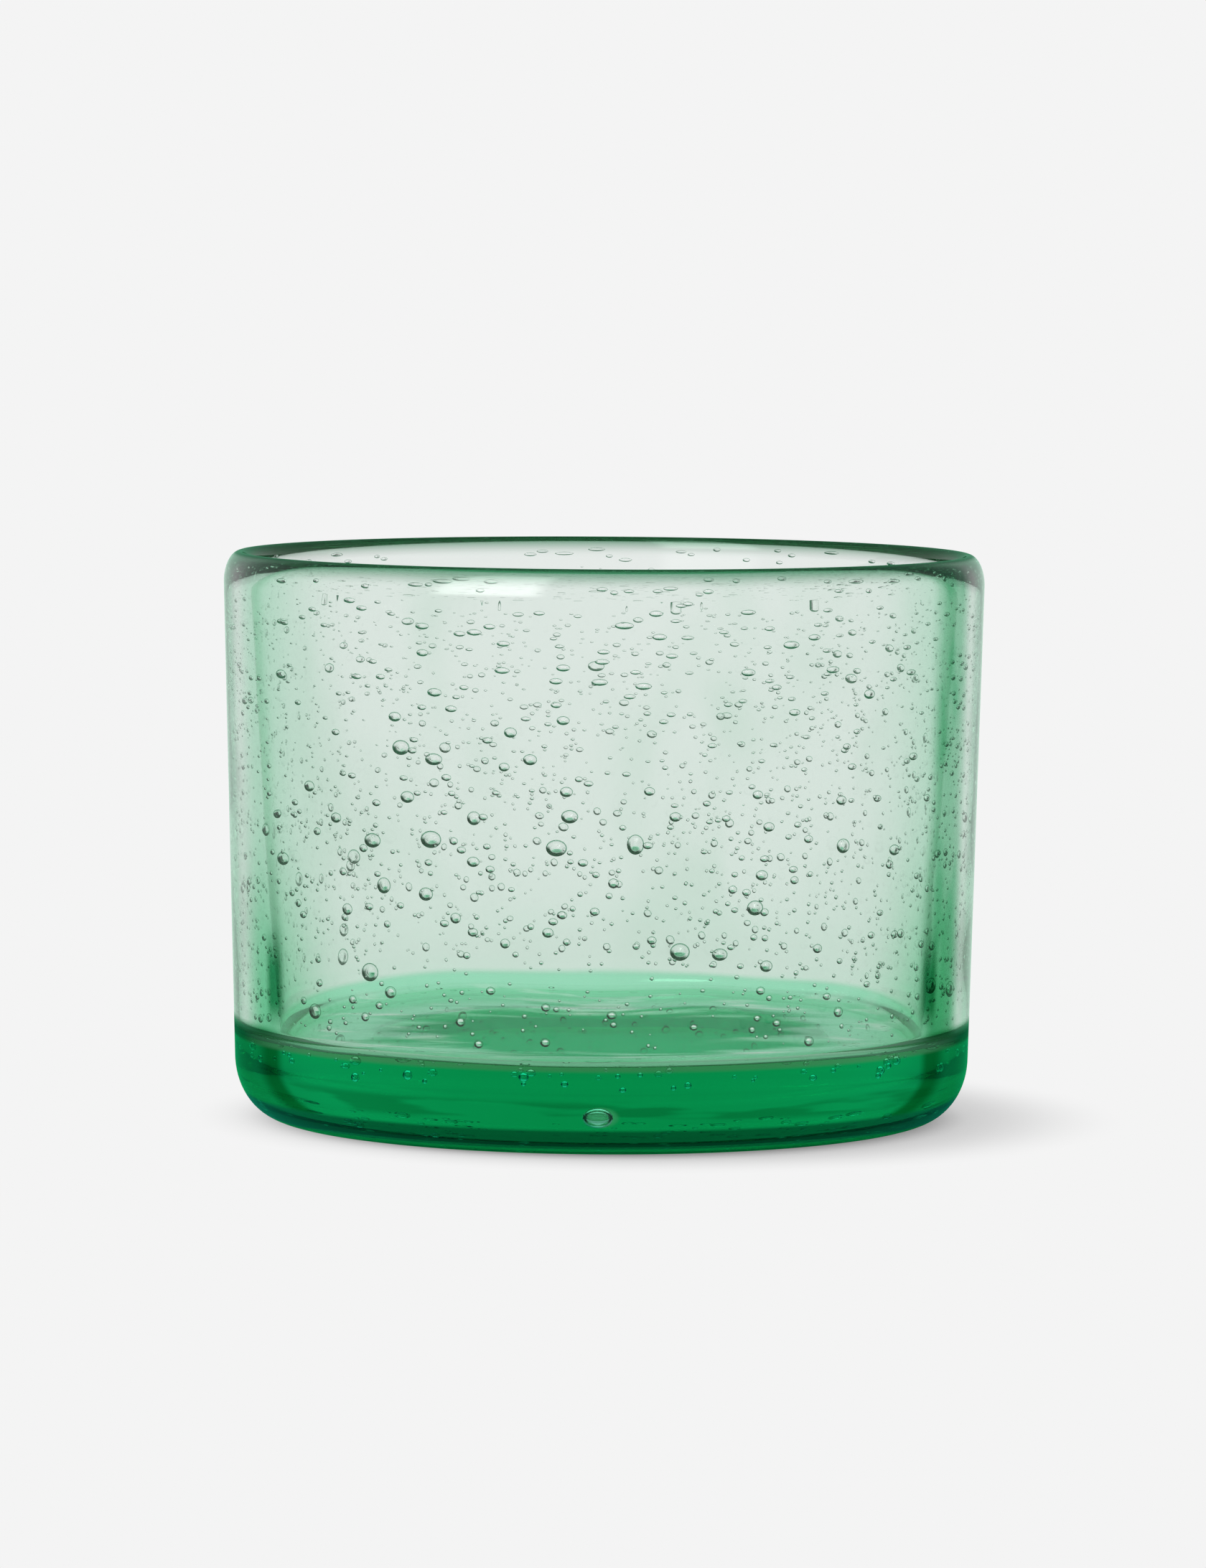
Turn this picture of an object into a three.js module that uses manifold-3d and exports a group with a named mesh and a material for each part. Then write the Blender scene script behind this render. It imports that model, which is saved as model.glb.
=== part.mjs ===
// Low water glass of green bubbled glass, in millimetres, +Z up.
// The origin is the centre of the underside, on the surface that the glass stands on.
// Two gathers of glass are fused face to face, with air bubbles trapped between them,
// and a fire-polished rim closes both at the top.
import * as THREE from 'three';
import { mergeVertices } from 'three/addons/utils/BufferGeometryUtils.js';
import Module from 'manifold-3d';

// Outer form
const RIM_DIAMETER = 80;
const FOOT_DIAMETER = 77.4;
const HEIGHT = 59.6;
const HEEL_REACH = 5.1;
const HEEL_RISE = 6.6;
const FOOT_RING_WIDTH = 9.5;
const RECESS_DEPTH = 0.9;

// Lip: the outside is rounded more than the inside
const LIP_HEIGHT = 4.2;
const LIP_OUTER_REACH = 1.7;
const LIP_OUTER_RISE = 3.2;
const LIP_INNER_RISE = 1.3;

// Layers of the wall and of the base
const OUTER_WALL_AT_LIP = 1.35;
const OUTER_WALL_AT_FLOOR = 3.2;
const INNER_WALL = 1.1;
const OUTER_BASE = 7.5;
const INNER_FLOOR = 1.6;
const FLOOR_CROWN = 0.4;
const FLOOR_FILLET = 2.2;

// The gathers touch in the real glass. This gap keeps their faces apart.
const FUSION_GAP = 0.1;

// Bubbles trapped between the gathers
const WALL_BUBBLE_COUNT = 30;
const FLOOR_BUBBLE_COUNT = 7;
const BUBBLE_WIDTH_LEAST = 1.1;
const BUBBLE_WIDTH_MOST = 2.1;
const BUBBLE_SKIN = 0.4;
const BUBBLE_EDGE_MARGIN = 2.5;
// Near the lip the gather is drawn out sideways, so a bubble there is flatter than it is wide.
const BUBBLE_FLATNESS_AT_LIP = 0.42;
const BUBBLE_FLATNESS_AT_FLOOR = 1;

// Faceting
const TURN_STEPS = 72;
const HEEL_STEPS = 6;
const LIP_STEPS = 6;
const FILLET_STEPS = 4;
const CROWN_STEPS = 4;
const BUBBLE_DETAIL = 1;
const GOLDEN_ANGLE = Math.PI * (3 - Math.sqrt(5));

// Places worked out from the sizes
const rimRadius = RIM_DIAMETER / 2;
const footRadius = FOOT_DIAMETER / 2;
const footRingOuter = footRadius - HEEL_REACH;
const recessRadius = footRingOuter - FOOT_RING_WIDTH;
const shoulderHeight = HEIGHT - LIP_OUTER_RISE;
const lipJoint = HEIGHT - LIP_HEIGHT;
const innerFloorUnderside = OUTER_BASE + FUSION_GAP;
const floorHeight = innerFloorUnderside + INNER_FLOOR;
const filletTop = floorHeight + FLOOR_FILLET;

// Radius of the outside of the glass, a straight taper between the heel and the shoulder
function outerRadiusAt(z) {
  const share = (z - HEEL_RISE) / (shoulderHeight - HEEL_RISE);
  return THREE.MathUtils.lerp(footRadius, rimRadius, share);
}

// Radius of the inside of the outer gather, whose wall thins towards the lip
function fusionRadiusAt(z) {
  const share = (z - filletTop) / (lipJoint - filletTop);
  return outerRadiusAt(z) - THREE.MathUtils.lerp(OUTER_WALL_AT_FLOOR, OUTER_WALL_AT_LIP, share);
}

// Radius of the inside of the cup
function innerRadiusAt(z) {
  return fusionRadiusAt(z) - FUSION_GAP - INNER_WALL;
}

// Points of an elliptical arc in the profile plane, both ends included
function arc(centreR, centreZ, reach, rise, fromDegrees, toDegrees, steps) {
  const points = [];
  for (let i = 0; i <= steps; i += 1) {
    const angle = THREE.MathUtils.degToRad(fromDegrees + ((toDegrees - fromDegrees) * i) / steps);
    points.push([centreR + reach * Math.cos(angle), centreZ + rise * Math.sin(angle)]);
  }
  return points;
}

// Points of a shallow dome over the axis, from the rim of the dome to the axis
function dome(edgeRadius, edgeHeight, rise, steps) {
  const points = [];
  for (let i = 0; i <= steps; i += 1) {
    const share = 1 - i / steps;
    points.push([edgeRadius * share, edgeHeight + rise * (1 - share * share)]);
  }
  return points;
}

// A closed body turned from a profile of [radius, height] points
function turned(profile) {
  const points = profile.map(([radius, height]) => new THREE.Vector2(Math.max(radius, 0), height));
  const geometry = new THREE.LatheGeometry(points, TURN_STEPS);
  geometry.rotateX(Math.PI / 2);
  return geometry;
}

// First gather: the inner cup, with the fillet and the crown of the inner floor
function innerGatherProfile() {
  const cornerRadius = innerRadiusAt(filletTop) - FLOOR_FILLET;
  const undersideReach = FLOOR_FILLET + INNER_WALL;
  const undersideRise = FLOOR_FILLET + INNER_FLOOR;
  const top = lipJoint - FUSION_GAP;
  return [
    [0, innerFloorUnderside],
    ...arc(cornerRadius, filletTop, undersideReach, undersideRise, -90, 0, FILLET_STEPS),
    [fusionRadiusAt(top) - FUSION_GAP, top],
    [innerRadiusAt(top), top],
    ...arc(cornerRadius, filletTop, FLOOR_FILLET, FLOOR_FILLET, 0, -90, FILLET_STEPS),
    ...dome(cornerRadius, floorHeight, FLOOR_CROWN, CROWN_STEPS).slice(1),
  ];
}

// Second gather: the outside of the wall, the heavy base, the heel, the foot ring and the recess
function outerGatherProfile() {
  const cornerRadius = innerRadiusAt(filletTop) - FLOOR_FILLET;
  const seatReach = FLOOR_FILLET + INNER_WALL + FUSION_GAP;
  const seatRise = FLOOR_FILLET + INNER_FLOOR + FUSION_GAP;
  const top = lipJoint - FUSION_GAP;
  return [
    ...dome(recessRadius, 0, RECESS_DEPTH, CROWN_STEPS).reverse(),
    ...arc(footRingOuter, HEEL_RISE, HEEL_REACH, HEEL_RISE, -90, 0, HEEL_STEPS),
    [outerRadiusAt(top), top],
    [fusionRadiusAt(top), top],
    ...arc(cornerRadius, filletTop, seatReach, seatRise, 0, -90, FILLET_STEPS),
    [0, OUTER_BASE],
  ];
}

// Rim: one rounded bead as thick as both gathers together
function rimProfile() {
  const outer = outerRadiusAt(lipJoint);
  const inner = innerRadiusAt(lipJoint);
  const crest = rimRadius - LIP_OUTER_REACH;
  const innerReach = crest - inner;
  return [
    [inner, lipJoint],
    [outer, lipJoint],
    ...arc(crest, shoulderHeight, LIP_OUTER_REACH, LIP_OUTER_RISE, 0, 90, LIP_STEPS),
    ...arc(crest, HEIGHT - LIP_INNER_RISE, innerReach, LIP_INNER_RISE, 90, 180, LIP_STEPS).slice(1),
    [inner, lipJoint],
  ];
}

const wasm = await Module();
wasm.setup();

// A solid for joining and cutting, from a closed geometry
function solidFrom(geometry) {
  const plain = geometry.clone();
  plain.deleteAttribute('normal');
  plain.deleteAttribute('uv');
  const merged = mergeVertices(plain);
  const index = merged.index.array;
  const corners = [];
  for (let i = 0; i < index.length; i += 3) {
    const [a, b, c] = [index[i], index[i + 1], index[i + 2]];
    if (a !== b && b !== c && c !== a) corners.push(a, b, c);
  }
  return new wasm.Manifold(new wasm.Mesh({
    numProp: 3,
    vertProperties: new Float32Array(merged.attributes.position.array),
    triVerts: new Uint32Array(corners),
  }));
}

// The geometry of a solid
function geometryFrom(solid) {
  const mesh = solid.getMesh();
  const geometry = new THREE.BufferGeometry();
  geometry.setAttribute('position', new THREE.BufferAttribute(mesh.vertProperties, 3));
  geometry.setIndex(new THREE.BufferAttribute(mesh.triVerts, 1));
  geometry.computeVertexNormals();
  return geometry;
}

// A bubble's size runs through its range in even steps that the golden ratio shuffles
function bubbleWidth(i) {
  const share = (i * (Math.sqrt(5) - 1) / 2) % 1;
  return THREE.MathUtils.lerp(BUBBLE_WIDTH_LEAST, BUBBLE_WIDTH_MOST, share);
}

// One bubble: a squashed ball whose thickness keeps a skin of glass on both sides
function bubble(width, height, skinLimit, azimuth, radius, z, liesFlat) {
  const geometry = new THREE.IcosahedronGeometry(1, BUBBLE_DETAIL);
  const depth = Math.min(width / 2, skinLimit - BUBBLE_SKIN);
  if (liesFlat) {
    geometry.scale(width / 2, width / 2, depth);
  } else {
    geometry.scale(depth, width / 2, height / 2);
  }
  geometry.rotateZ(azimuth);
  geometry.translate(radius * Math.cos(azimuth), radius * Math.sin(azimuth), z);
  return geometry;
}

// Bubbles in the wall, spread round it by the golden angle
function wallBubbles() {
  const low = filletTop + BUBBLE_EDGE_MARGIN;
  const high = lipJoint - BUBBLE_EDGE_MARGIN;
  const skinLimit = Math.min(INNER_WALL, OUTER_WALL_AT_LIP, OUTER_WALL_AT_FLOOR);
  const bubbles = [];
  for (let i = 0; i < WALL_BUBBLE_COUNT; i += 1) {
    const share = (i + 0.5) / WALL_BUBBLE_COUNT;
    const z = THREE.MathUtils.lerp(low, high, share);
    const width = bubbleWidth(i);
    const flatness = THREE.MathUtils.lerp(BUBBLE_FLATNESS_AT_FLOOR, BUBBLE_FLATNESS_AT_LIP, share * share);
    const radius = fusionRadiusAt(z) - FUSION_GAP / 2;
    bubbles.push(bubble(width, width * flatness, skinLimit, i * GOLDEN_ANGLE, radius, z, false));
  }
  return bubbles;
}

// Bubbles between the base and the inner floor
function floorBubbles() {
  const reach = innerRadiusAt(filletTop) - FLOOR_FILLET - BUBBLE_EDGE_MARGIN;
  const skinLimit = Math.min(INNER_FLOOR, OUTER_BASE - RECESS_DEPTH);
  const z = OUTER_BASE + FUSION_GAP / 2;
  const bubbles = [];
  for (let i = 0; i < FLOOR_BUBBLE_COUNT; i += 1) {
    const radius = reach * Math.sqrt((i + 0.5) / FLOOR_BUBBLE_COUNT);
    const width = bubbleWidth(i);
    bubbles.push(bubble(width, width, skinLimit, i * GOLDEN_ANGLE, radius, z, true));
  }
  return bubbles;
}

// A gather with every bubble cut out of it
function withPockets(geometry, bubbles) {
  let solid = solidFrom(geometry);
  for (const pocket of bubbles) {
    solid = solid.subtract(solidFrom(pocket));
  }
  return geometryFrom(solid);
}

function greenGlass(color, opacity) {
  return new THREE.MeshStandardMaterial({
    color, roughness: 0.04, metalness: 0, transparent: true, opacity,
  });
}

function part(name, geometry, material) {
  const mesh = new THREE.Mesh(geometry, material);
  mesh.name = name;
  return mesh;
}

const pockets = [...wallBubbles(), ...floorBubbles()];
const waterGlass = new THREE.Group();
waterGlass.name = 'water_glass';
waterGlass.add(part('outer_gather', withPockets(turned(outerGatherProfile()), pockets), greenGlass(0x1f9d63, 0.55)));
waterGlass.add(part('inner_gather', withPockets(turned(innerGatherProfile()), pockets), greenGlass(0xa8dcc0, 0.4)));
waterGlass.add(part('rim', turned(rimProfile()), greenGlass(0x3c8f6a, 0.6)));

export default waterGlass;
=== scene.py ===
"""Low water glass of green bubbled glass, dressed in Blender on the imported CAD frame.

Sizes in the classes are millimetres. Meshes are in metres, +Z up, with the origin at the
centre of the underside and the photographed side facing -Y. Angles round the glass are in
degrees from the photographed side, positive towards the right of the picture.
"""
import logging
import math
import random
from dataclasses import dataclass, field
from enum import Enum

import bpy
from mathutils import Matrix, Vector


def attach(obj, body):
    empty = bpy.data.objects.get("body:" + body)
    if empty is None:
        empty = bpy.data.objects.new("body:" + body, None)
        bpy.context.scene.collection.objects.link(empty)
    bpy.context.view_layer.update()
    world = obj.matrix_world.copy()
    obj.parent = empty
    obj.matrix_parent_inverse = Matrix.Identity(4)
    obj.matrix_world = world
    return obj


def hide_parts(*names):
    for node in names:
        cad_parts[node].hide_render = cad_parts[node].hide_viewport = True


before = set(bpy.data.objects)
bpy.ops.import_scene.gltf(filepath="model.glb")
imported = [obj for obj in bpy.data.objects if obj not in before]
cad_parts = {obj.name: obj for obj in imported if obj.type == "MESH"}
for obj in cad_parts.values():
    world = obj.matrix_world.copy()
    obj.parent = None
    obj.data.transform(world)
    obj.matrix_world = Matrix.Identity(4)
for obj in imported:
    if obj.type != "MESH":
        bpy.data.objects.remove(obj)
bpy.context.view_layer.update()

LOG = logging.getLogger("water_glass")
MM = 0.001
WELD_DISTANCE = 0.002 * MM
BODY = "root"
CAD_NODES = ("outer_gather", "inner_gather", "rim")

# Distance from the axis and height of the large bubble at the front of the base, in mm.
LENS_RADIUS = 35.6
LENS_HEIGHT = 4.3

Tree = bpy.types.NodeTree
Socket = bpy.types.NodeSocket
Colour = tuple[float, float, float, float]
Paint = str | Colour | Socket
Point = tuple[float, float]

# Where a share is 0 and where it is 1, and for a band also where it starts to fall and is 0 again.
Limits = tuple[float, ...]

# Centre of a bubble in mm, its turn about +Z in radians, and its depth, width and height in mm.
Pocket = tuple[Vector, float, Vector]


def linear(hex_colour: str) -> Colour:
    """Turns an sRGB hex colour into the linear RGBA that Blender's sockets take.

    Args:
        hex_colour: Six hex digits, such as "C3EDD7".

    Returns:
        Linear red, green, blue and an alpha of 1.
    """
    channels = [int(hex_colour[i:i + 2], 16) / 255 for i in (0, 2, 4)]
    turned = [c / 12.92 if c <= 0.04045 else ((c + 0.055) / 1.055) ** 2.4 for c in channels]
    return (turned[0], turned[1], turned[2], 1.0)


def add_node(tree: Tree, kind: str, inputs: dict | None = None, **settings: object) -> bpy.types.Node:
    """Adds one node with its settings, values and links.

    Args:
        tree: The node tree that takes the node.
        kind: The node's class name.
        inputs: Values or output sockets, by input name or number.
        **settings: Properties of the node, such as operation="MULTIPLY".

    Returns:
        The new node.
    """
    node = tree.nodes.new(kind)
    for name, value in settings.items():
        setattr(node, name, value)
    for name, value in (inputs or {}).items():
        if isinstance(value, bpy.types.NodeSocket):
            tree.links.new(value, node.inputs[name])
        else:
            node.inputs[name].default_value = value
    return node


def place_in_mm(tree: Tree) -> Socket:
    """Adds Object coordinates in mm."""
    metres = {0: add_node(tree, "ShaderNodeTexCoord").outputs["Object"], "Scale": 1 / MM}
    return add_node(tree, "ShaderNodeVectorMath", metres, operation="SCALE").outputs[0]


def share(tree: Tree, *parts: tuple[Socket, Limits]) -> Socket:
    """How far several values are all within their limits, from 0 to 1.

    Args:
        tree: The node tree.
        *parts: Each value's socket with its limits.

    Returns:
        The socket of the product of a smooth step for each limit.
    """
    product = None
    for value, (none, full, *fall) in parts:
        for zero, one in [(none, full), (fall[1], fall[0])] if fall else [(none, full)]:
            inputs = {"Value": value, "From Min": min(zero, one), "From Max": max(zero, one)}
            inputs["To Min"], inputs["To Max"] = (0.0, 1.0) if one > zero else (1.0, 0.0)
            step = add_node(tree, "ShaderNodeMapRange", inputs, interpolation_type="SMOOTHSTEP").outputs[0]
            if product is not None:
                pair = {0: product, 1: step}
                step = add_node(tree, "ShaderNodeMath", pair, operation="MULTIPLY").outputs[0]
            product = step
    return product


class Blend(Enum):
    """How a coat of colour joins what is under it."""

    COVER = "MIX"
    MULTIPLY = "MULTIPLY"


def lay(tree: Tree, ground: Paint, *coats: tuple[Socket, Paint], blend: Blend = Blend.COVER) -> Socket:
    """Lays coats of colour over a ground, one after the other.

    Args:
        tree: The node tree.
        ground: What is there before the first coat.
        *coats: Each coat's share, which runs from 0 to 1, with its colour.
        blend: How the coats join what is under them.

    Returns:
        The colour's socket.
    """
    shade = linear(ground) if isinstance(ground, str) else ground
    for factor, paint in coats:
        over = linear(paint) if isinstance(paint, str) else paint
        inputs = {"Factor": factor, 6: shade, 7: over}
        shade = add_node(tree, "ShaderNodeMix", inputs, data_type="RGBA", blend_type=blend.value).outputs[2]
    return shade


def new_material(name: str) -> tuple[bpy.types.Material, bpy.types.NodeTree, bpy.types.Node]:
    """Makes a material whose tree holds nothing but its output.

    Args:
        name: The material's name.

    Returns:
        The material, its node tree and its output node.
    """
    material = bpy.data.materials.new(name)
    material.use_nodes = True
    tree = material.node_tree
    tree.nodes.clear()
    return material, tree, tree.nodes.new("ShaderNodeOutputMaterial")


def start_clean() -> None:
    """Leaves edit mode and deselects everything."""
    if bpy.context.object and bpy.context.object.mode != "OBJECT":
        bpy.ops.object.mode_set(mode="OBJECT")
    bpy.ops.object.select_all(action="DESELECT")


def finish_piece(piece: bpy.types.Object, material: bpy.types.Material, *nodes: str) -> bpy.types.Object:
    """Gives a piece its material and tells the frame what it rides on and stands for.

    Args:
        piece: The finished mesh object.
        material: The finish that covers all of it.
        *nodes: CAD nodes that the piece stands for, if any.

    Returns:
        The piece.
    """
    piece.data.materials.clear()
    piece.data.materials.append(material)
    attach(piece, BODY)
    if nodes:
        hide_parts(*nodes)
    LOG.info("%s: %d faces", piece.name, len(piece.data.polygons))
    return piece


def turn(name: str, half_section: list[Point], steps: int) -> bpy.types.Object:
    """Draws a half section point by point from one vertex and spins it round the axis.

    Args:
        name: The finished piece's name.
        half_section: Radius and height of each point, from the axis to the axis.
        steps: Number of steps round.

    Returns:
        The closed skin.
    """
    start_clean()
    first, *rest = half_section
    bpy.ops.mesh.primitive_plane_add(size=MM, location=(first[0] * MM, 0, first[1] * MM))
    body = bpy.context.object
    body.name = body.data.name = name
    bpy.ops.object.transform_apply(location=True, rotation=True, scale=True)
    bpy.ops.object.mode_set(mode="EDIT")
    bpy.ops.mesh.select_all(action="SELECT")
    bpy.ops.mesh.merge(type="CENTER")
    here = first
    for point in rest:
        step = ((point[0] - here[0]) * MM, 0, (point[1] - here[1]) * MM)
        bpy.ops.mesh.extrude_region_move(TRANSFORM_OT_translate={"value": step})
        here = point
    bpy.ops.mesh.select_all(action="SELECT")
    bpy.ops.mesh.spin(steps=steps, angle=2 * math.pi, center=(0, 0, 0), axis=(0, 0, 1))
    bpy.ops.mesh.select_all(action="SELECT")
    bpy.ops.mesh.remove_doubles(threshold=WELD_DISTANCE)
    bpy.ops.mesh.normals_make_consistent(inside=False)
    bpy.ops.object.mode_set(mode="OBJECT")
    bpy.ops.object.shade_smooth()
    return body


@dataclass(frozen=True)
class Streaks:
    """Soft streaks of noise: stronger colour in the wall and the base, as the melt was stirred and drawn out,
    and the patches and ragged edges of painted shade and painted highlight elsewhere.

    Attributes:
        reach: Typical size of a streak along X, Y and Z, in mm.
        seen: Noise values at which a streak starts and is full.
    """

    reach: tuple[float, float, float]
    seen: Limits

    def part(self, tree: Tree, place: Socket) -> tuple[Socket, Limits]:
        """Adds the noise that the streaks are made of.

        Args:
            tree: The node tree.
            place: Object coordinates in mm.

        Returns:
            The noise's socket with its limits, as a share takes them.
        """
        stretch = {0: place, 1: tuple(1 / size for size in self.reach)}
        finer = add_node(tree, "ShaderNodeVectorMath", stretch, operation="MULTIPLY").outputs[0]
        noise = add_node(tree, "ShaderNodeTexNoise", {"Vector": finer, "Scale": 1.0, "Detail": 2.0})
        return noise.outputs[0], self.seen


@dataclass(frozen=True)
class Skin:
    """What a finish reads about a point of the glass's skin, as sockets of its tree.

    Attributes:
        tree: The node tree.
        place: Object coordinates in mm.
        flat: The same without the height.
        across: Distance to the right of the axis in mm.
        height: Height above the table in mm.
        radius: Distance from the axis in mm.
        facing: 0 where the skin is seen squarely and 1 where it is seen edge on.
    """

    tree: Tree
    place: Socket
    flat: Socket
    across: Socket
    height: Socket
    radius: Socket
    facing: Socket

    @classmethod
    def of(cls, tree: Tree) -> "Skin":
        """Adds the nodes that measure the skin.

        Args:
            tree: The node tree.

        Returns:
            Their sockets.
        """
        place = place_in_mm(tree)
        parts = add_node(tree, "ShaderNodeSeparateXYZ", {"Vector": place}).outputs
        level = {0: place, 1: (1.0, 1.0, 0.0)}
        flat = add_node(tree, "ShaderNodeVectorMath", level, operation="MULTIPLY").outputs[0]
        radius = add_node(tree, "ShaderNodeVectorMath", {0: flat}, operation="LENGTH").outputs["Value"]
        facing = add_node(tree, "ShaderNodeLayerWeight", {"Blend": 0.5}).outputs["Facing"]
        return cls(tree, place, flat, parts["X"], parts["Z"], radius, facing)


@dataclass(frozen=True)
class GreenBlownGlass:
    """Soda-lime glass tinted green in the melt, mouth-blown and fire-polished.

    Fire polishing leaves the surface as smooth as liquid, so there is no roughness, only long
    low waves. The body of the glass takes up red light. The skin's colour adds what the seeds
    and streaks do: a thin wall is nearly clear, it is greener where it is seen along its
    length, and the solid base is deep green. The skin's colour also holds painted shade: lines
    along the edges, the right side, the wedge over the base, the sides, ends and heel of the
    base and the disc of the cup's floor are darkened where dark surroundings and the shadowed
    table would be seen through the glass. The ring round that disc has painted highlights, and
    the lens has a painted glow. Lengths are in mm, and a value named "seen" is how far the skin
    is seen edge on.
    """

    name: str = "green_blown_glass"
    ior: float = 1.5
    body_colour: str = "D5EEE0"
    absorption_per_metre: float = 100.0
    wave_spacing: float = 9.0
    wave_height: float = 0.012
    wave_detail: float = 1.0
    wave_roughness: float = 0.4

    # The wall where it is seen squarely.
    wall: str = "FFFFFF"
    wall_streak: str = "F0F8F3"
    wall_streaks: Streaks = Streaks((14.0, 14.0, 26.0), (0.45, 0.7))
    wall_low: str = "F3FAF6"
    wall_darkens: Limits = (34.0, 13.0)
    outside_radii: Limits = (37.6, 38.2)

    # The outside of the wall along its two edges, greener partly for the longer path through the glass
    # and partly as painted shade of dark surroundings, and inside them a line of painted shade.
    edge: str = "D2F0E0"
    edge_low: str = "86D8AE"
    edge_seen: Limits = (0.24, 0.6, 0.6, 0.8)
    line_shade: str = "B4E6CE"
    line_shade_low: str = "2C9C6C"
    line_shade_seen: Limits = (0.7, 0.92)

    # Painted shade that darkens the edges further: the right side, the edge lines low on the wall, the wedge
    # over the base and the outermost skirt.
    right_side_shade: str = "98D0B4"
    right_shade_across: Limits = (18.0, 32.0)
    right_shade_seen: Limits = (0.49, 0.58, 0.66, 0.76)
    right_shade_patches: Streaks = Streaks((6.0, 6.0, 14.0), (0.42, 0.58))
    right_shade_least: float = 0.7
    low_edge_shade: str = "5AA888"
    low_edge_shade_heights: Limits = (10.5, 14.0, 17.0, 23.0)
    low_edge_shade_seen: Limits = (0.49, 0.53, 0.56, 0.6)
    wedge_shade: str = "5CB08A"
    wedge_shade_heights: Limits = (8.7, 9.0, 10.4, 11.4)
    wedge_shade_seen: Limits = (0.42, 0.62)
    skirt_shade: str = "DEFCEC"
    skirt_shade_seen: Limits = (0.72, 0.84)

    # The rim, which is pale on its outer flank where that is seen edge on.
    rim: str = "58A07C"
    rim_heights: Limits = (57.5, 59.8)
    rim_flank: str = "B4E4CC"
    flank_radii: Limits = (38.7, 39.2)
    flank_seen: Limits = (0.5, 0.75)

    # The solid base: streaks in one layer; painted shade at its sides, near each end and at the heel, where
    # dark surroundings and the table's contact shadow would be seen; and the painted glow at the lens.
    base: str = "21EBAE"
    base_top: Limits = (8.7, 9.2)
    base_streak: str = "1CC890"
    base_streaks: Streaks = Streaks((16.0, 16.0, 1.6), (0.46, 0.6))
    streak_heights: Limits = (3.4, 4.2, 5.4, 6.2)
    base_side_shade: str = "12AC68"
    side_shade_seen: Limits = (0.3, 0.8)
    base_end_shade: str = "70B498"
    end_shade_aside: Limits = (26.0, 30.0)
    end_shade_seen: Limits = (0.5, 0.55, 0.58, 0.68)
    # Painted shadow: the heel's band is darkened as where the table's contact shadow would be seen through
    # it.
    heel: str = "149070"
    heel_shade_heights: Limits = (0.6, 0.9, 2.6, 3.1)
    lens_glow: str = "8CF4D0"
    glow_stretch: tuple[float, float, float] = (1.0, 0.3, 1.7)
    glow_reach: Limits = (2.2, 1.5)

    # The collar of glass between the base and the wall, with painted shade on its sides.
    collar: str = "98DCB8"
    collar_side_shade: str = "147A4C"
    collar_top: Limits = (9.7, 10.8)

    # The cup's floor: a ragged disc of painted shade over the recess, for the shadowed table seen through it
    # and dark reflections in it, and a pale ring round it with patches of painted highlight.
    shaded_disc: str = "12C484"
    disc_from_above: str = "A8E8CA"
    disc_seen: Limits = (0.25, 0.85)
    disc_middle: tuple[float, float, float] = (0.0, -6.0, 0.0)
    disc_radii: Limits = (16.0, 26.0)
    disc_ragged: float = 5.0
    shaded_disc_noise: Streaks = Streaks((13.0, 5.0, 5.0), (0.3, 0.7))
    ring: str = "B4F4D8"
    ring_highlight: str = "EFFFF8"
    ring_highlight_noise: Streaks = Streaks((9.0, 6.0, 6.0), (0.5, 0.66))
    cup_radii: Limits = (36.2, 35.6)
    cup_heights: Limits = (5.5, 6.5, 10.2, 11.2)

    # Light that leaves the glass again, which is green only through the fillet of the cup.
    leaving: str = "FFFFFF"
    fillet: str = "62C494"
    fillet_heights: Limits = (9.2, 9.4, 10.4, 11.4)
    fillet_seen: Limits = (0.5, 0.8)

    def outside_tint(self, skin: Skin, lower: Socket) -> Socket:
        """Colour of the outside of the wall, with its painted shade along the edges.

        Args:
            skin: What is known of the skin.
            lower: Share of the lower wall's colours.

        Returns:
            The colour's socket.
        """
        tree, height, facing = skin.tree, skin.height, skin.facing
        streaks = share(tree, self.wall_streaks.part(tree, skin.place))
        clear = lay(tree, self.wall, (streaks, self.wall_streak), (lower, self.wall_low))
        # Partly the longer path through the wall, partly painted shade of dark surroundings seen through the
        # edges; darker lower down.
        edge = lay(tree, self.edge, (lower, self.edge_low))
        outside = lay(tree, clear, (share(tree, (facing, self.edge_seen)), edge))
        # Painted shade: the right-hand edges are darker, as on the side away from the light, in uneven
        # patches.
        patches = share(tree, self.right_shade_patches.part(tree, skin.place))
        uneven = {"Factor": patches, "A": self.right_shade_least, "B": 1.0}
        uneven = add_node(tree, "ShaderNodeMix", uneven, data_type="FLOAT").outputs[0]
        right_shade = share(tree, (skin.across, self.right_shade_across), (facing, self.right_shade_seen))
        right_shade = add_node(tree, "ShaderNodeMath", {0: right_shade, 1: uneven}, operation="MULTIPLY").outputs[0]
        # Painted shade: the edge lines are darker between 10.5 and 23 mm high.
        low_edge_shading = share(tree, (facing, self.low_edge_shade_seen), (height, self.low_edge_shade_heights))
        # Painted shade: a dark wedge over the base, where the shadowed table under it would be seen.
        wedge_shade = share(tree, (height, self.wedge_shade_heights), (facing, self.wedge_shade_seen))
        # Painted shade: the outermost edge, seen most nearly edge on, is a little darker and greener.
        skirt_shade = share(tree, (facing, self.skirt_shade_seen))
        return lay(tree, outside, (right_shade, self.right_side_shade), (low_edge_shading, self.low_edge_shade), (wedge_shade, self.wedge_shade),
                   (skirt_shade, self.skirt_shade), blend=Blend.MULTIPLY)

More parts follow.
